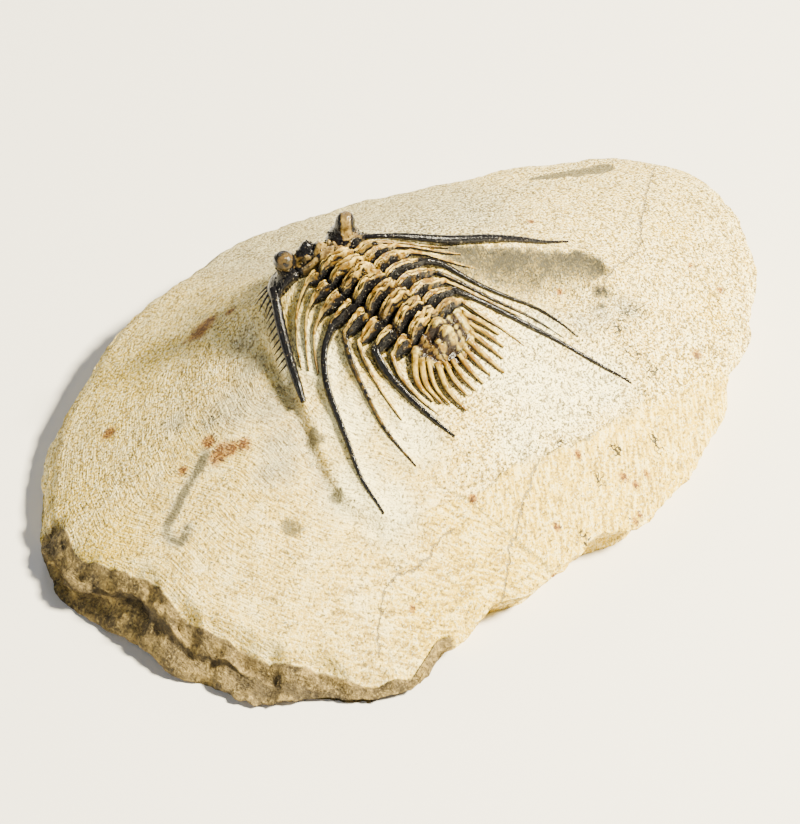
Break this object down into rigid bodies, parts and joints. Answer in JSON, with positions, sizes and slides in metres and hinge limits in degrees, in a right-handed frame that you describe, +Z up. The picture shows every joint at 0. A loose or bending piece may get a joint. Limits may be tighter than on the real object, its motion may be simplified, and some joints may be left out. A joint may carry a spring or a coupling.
{
  "type": "fossil trilobite in matrix",
  "caption": "Spiny trilobite fossil in relief on a domed block of prepared limestone that lies on its flat underside.",
  "frame": {"origin": "middle of the specimen's bounding box at the flat underside of the block", "axes": "+X along the block's long axis, towards the animal's right-hand spines; +Y towards the head; +Z up, away from the resting face"},
  "size_m": [0.1018, 0.0698, 0.0338],
  "materials": {
    "limestone": null,
    "head_shell": "dark calcite shell with a low gloss; gloss plastic stands in for mineralised shell",
    "body_shell": "tan and near-black banded calcite shell with a low gloss; gloss plastic stands in for mineralised shell"
  },
  "bodies": {
    "root": {"matrix": "limestone", "cranidium": "head_shell", "left_free_cheek": "head_shell", "right_free_cheek": "head_shell", "thorax_segment_1": "body_shell", "thorax_segment_2": "body_shell", "thorax_segment_3": "body_shell", "thorax_segment_4": "body_shell", "thorax_segment_5": "body_shell", "thorax_segment_6": "body_shell", "thorax_segment_7": "body_shell", "thorax_segment_8": "body_shell", "pygidium": "body_shell"}
  },
  "joints": []
}
